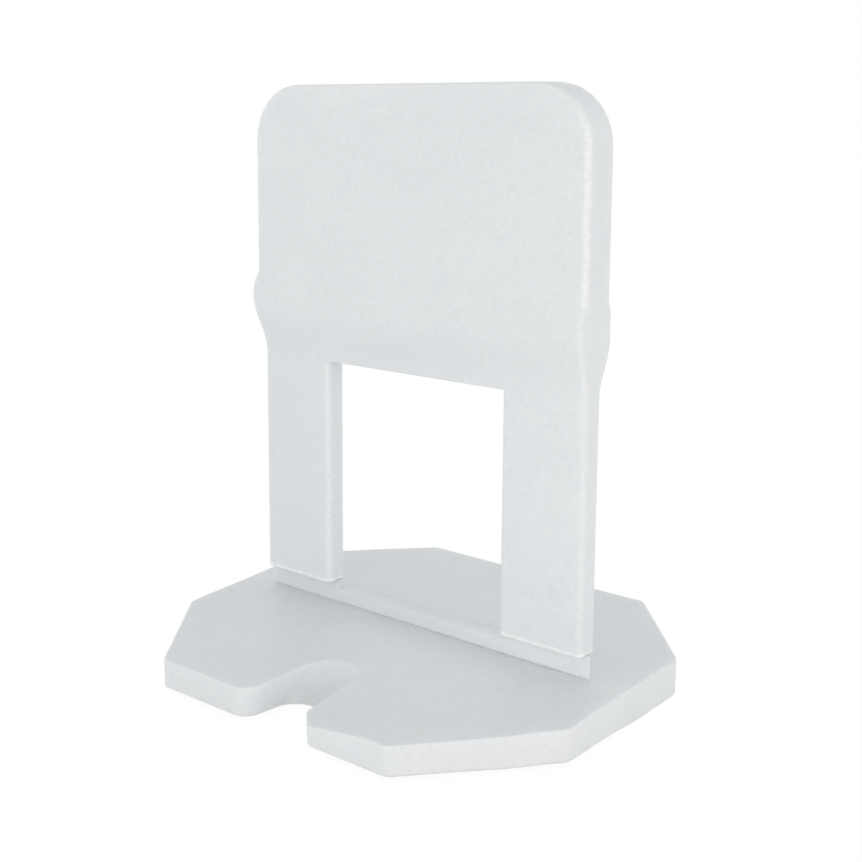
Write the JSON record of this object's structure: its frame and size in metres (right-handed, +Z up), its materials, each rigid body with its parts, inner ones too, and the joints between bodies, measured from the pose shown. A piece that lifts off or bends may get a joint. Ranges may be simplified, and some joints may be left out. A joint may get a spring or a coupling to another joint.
{
  "type": "tile levelling clip",
  "caption": "Moulded tile levelling clip: octagonal base with an edge notch, thin break-off strip, flat legs, wedge window and a thicker head with rounded ears.",
  "frame": {"origin": "centre of the base plate, on its underside", "axes": "+Z up through the head, X along the tile joint, the notched edge of the base faces -Y"},
  "size_m": [0.0322, 0.0286, 0.0384],
  "materials": {
    "white_polypropylene": "natural white polypropylene, finely eroded matt surface, slightly translucent"
  },
  "bodies": {
    "root": {"levelling_clip": "white_polypropylene"}
  },
  "joints": []
}
